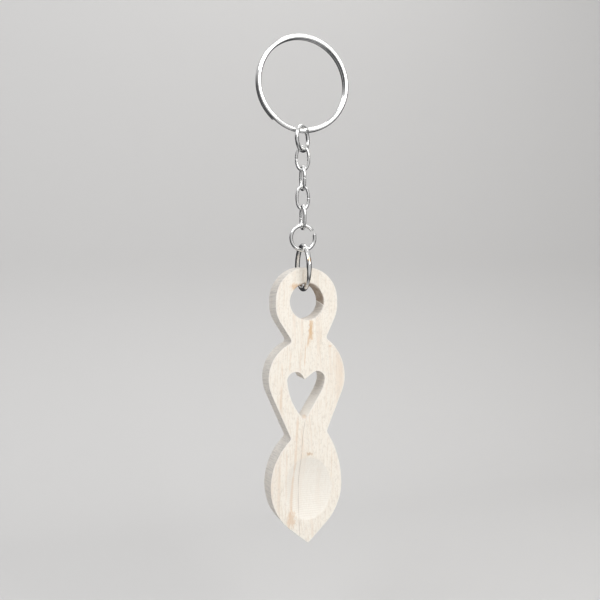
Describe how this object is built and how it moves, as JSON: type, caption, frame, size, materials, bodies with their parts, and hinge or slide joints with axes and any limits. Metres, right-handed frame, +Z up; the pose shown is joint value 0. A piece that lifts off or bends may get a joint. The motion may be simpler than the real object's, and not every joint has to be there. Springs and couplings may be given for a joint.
{
  "type": "key ring charm",
  "caption": "Carved wooden love spoon with a pierced heart and a shallow bowl, hung by a large ring and a short chain of oval links from a split key ring.",
  "frame": {"origin": "where the split ring hangs on its peg: the inner top of the split ring, in the plane of the chain", "axes": "X right as seen from the bowl side, Y away from the bowl side, Z up; the charm hangs straight down"},
  "size_m": [0.025, 0.0126, 0.1321],
  "materials": {
    "nickel_split_ring": "bright nickel plate over steel",
    "nickel_wire": "bright nickel plate over steel",
    "sycamore": "bare sanded pale wood"
  },
  "bodies": {
    "split_ring": {"split_ring": "nickel_split_ring"},
    "top_jump_ring": {"top_jump_ring": "nickel_wire"},
    "chain_link_1": {"chain_link_1": "nickel_wire"},
    "chain_link_2": {"chain_link_2": "nickel_wire"},
    "chain_link_3": {"chain_link_3": "nickel_wire"},
    "chain_link_4": {"chain_link_4": "nickel_wire"},
    "lower_jump_ring": {"lower_jump_ring": "nickel_wire"},
    "bail_ring": {"bail_ring": "nickel_wire"},
    "spoon": {"spoon": "sycamore"}
  },
  "joints": [
    {"name": "top_jump_swing", "type": "hinge", "parent": "split_ring", "child": "top_jump_ring", "pos_m": [0, 0, -0.0232], "axis": [1, 0, 0], "range_deg": [-70, 70]},
    {"name": "first_link_swing", "type": "hinge", "parent": "top_jump_ring", "child": "chain_link_1", "pos_m": [0, 0, -0.02834], "axis": [0.7193, 0.6947, 0], "range_deg": [-120, 120]},
    {"name": "second_link_swing", "type": "hinge", "parent": "chain_link_1", "child": "chain_link_2", "pos_m": [0, 0, -0.03331], "axis": [-0.9135, 0.4067, 0], "range_deg": [-120, 120]},
    {"name": "third_link_swing", "type": "hinge", "parent": "chain_link_2", "child": "chain_link_3", "pos_m": [0, 0, -0.03839], "axis": [0, -1, 0], "range_deg": [-110, 110]},
    {"name": "fourth_link_swing", "type": "hinge", "parent": "chain_link_3", "child": "chain_link_4", "pos_m": [0, 0, -0.04349], "axis": [-1, 0, 0], "range_deg": [-120, 120]},
    {"name": "lower_jump_swing", "type": "hinge", "parent": "chain_link_4", "child": "lower_jump_ring", "pos_m": [0, 0, -0.04858], "axis": [0, 1, 0], "range_deg": [-110, 110]},
    {"name": "bail_swing", "type": "hinge", "parent": "lower_jump_ring", "child": "bail_ring", "pos_m": [0, 0, -0.05419], "axis": [1, 0, 0], "range_deg": [-90, 90]},
    {"name": "spoon_swing", "type": "hinge", "parent": "bail_ring", "child": "spoon", "pos_m": [0, 0, -0.06372], "axis": [-0.061, -0.9981, 0], "range_deg": [-100, 100]}
  ]
}
